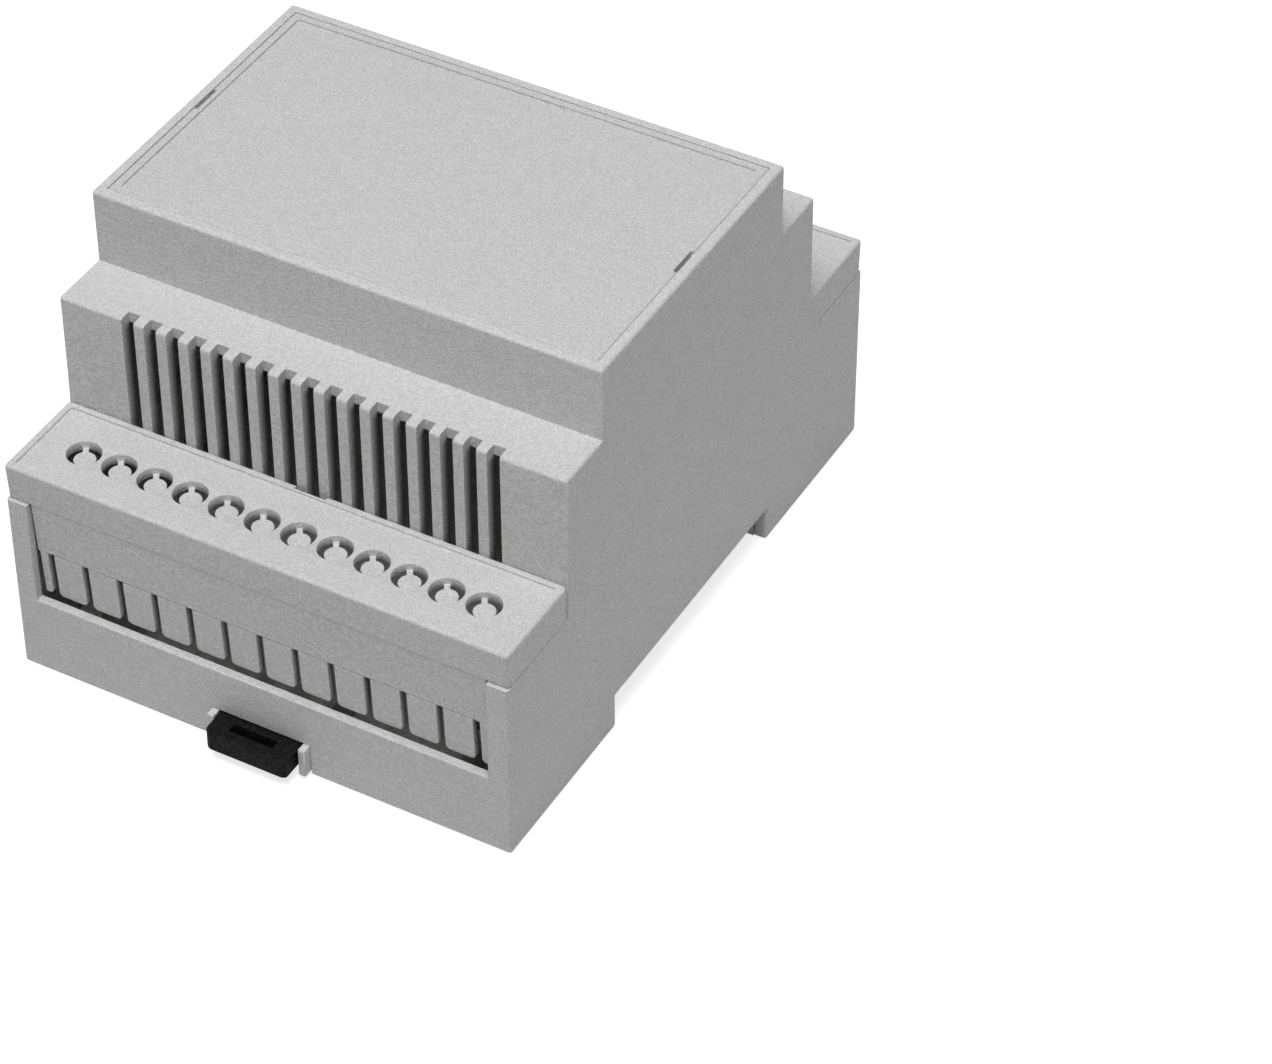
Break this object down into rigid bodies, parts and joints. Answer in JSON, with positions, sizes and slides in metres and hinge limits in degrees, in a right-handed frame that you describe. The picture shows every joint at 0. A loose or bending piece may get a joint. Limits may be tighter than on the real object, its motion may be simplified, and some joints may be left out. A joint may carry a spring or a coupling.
{
  "type": "din rail enclosure",
  "caption": "Stepped light grey enclosure for a top-hat rail, with vent slots, lift-off terminal covers, a snap-in top panel and a sliding black rail clip.",
  "frame": {"origin": "on the middle line of the rail, halfway along the width, in the plane of the feet's undersides", "axes": "+X along the rail, +Y from the side with the rail clip to the side with the fixed hooks, +Z away from the rail to the top panel"},
  "size_m": [0.07, 0.0937, 0.058],
  "materials": {
    "light_grey_plastic": "fine matte grain",
    "warm_grey_plastic": "fine matte grain",
    "black_plastic": "fine matte grain"
  },
  "bodies": {
    "base": {"base": "warm_grey_plastic"},
    "housing": {"housing": "light_grey_plastic"},
    "rail_clip": {"rail_clip": "black_plastic"},
    "front_panel": {"front_panel": "light_grey_plastic"},
    "terminal_cover_front": {"terminal_cover_front": "light_grey_plastic"},
    "terminal_cover_rear": {"terminal_cover_rear": "light_grey_plastic"}
  },
  "joints": [
    {"name": "housing_lift", "type": "slide", "parent": "base", "child": "housing", "axis": [0, 0, 1], "range_m": [0, 0.025]},
    {"name": "clip_slide", "type": "slide", "parent": "base", "child": "rail_clip", "axis": [0, -1, 0], "range_m": [0, 0.004], "stiffness_N_per_m": 400},
    {"name": "panel_lift", "type": "slide", "parent": "housing", "child": "front_panel", "axis": [0, 0, 1], "range_m": [0, 0.012]},
    {"name": "front_cover_lift", "type": "slide", "parent": "housing", "child": "terminal_cover_front", "axis": [0, 0, 1], "range_m": [0, 0.02]},
    {"name": "rear_cover_lift", "type": "slide", "parent": "housing", "child": "terminal_cover_rear", "axis": [0, 0, 1], "range_m": [0, 0.02]}
  ]
}
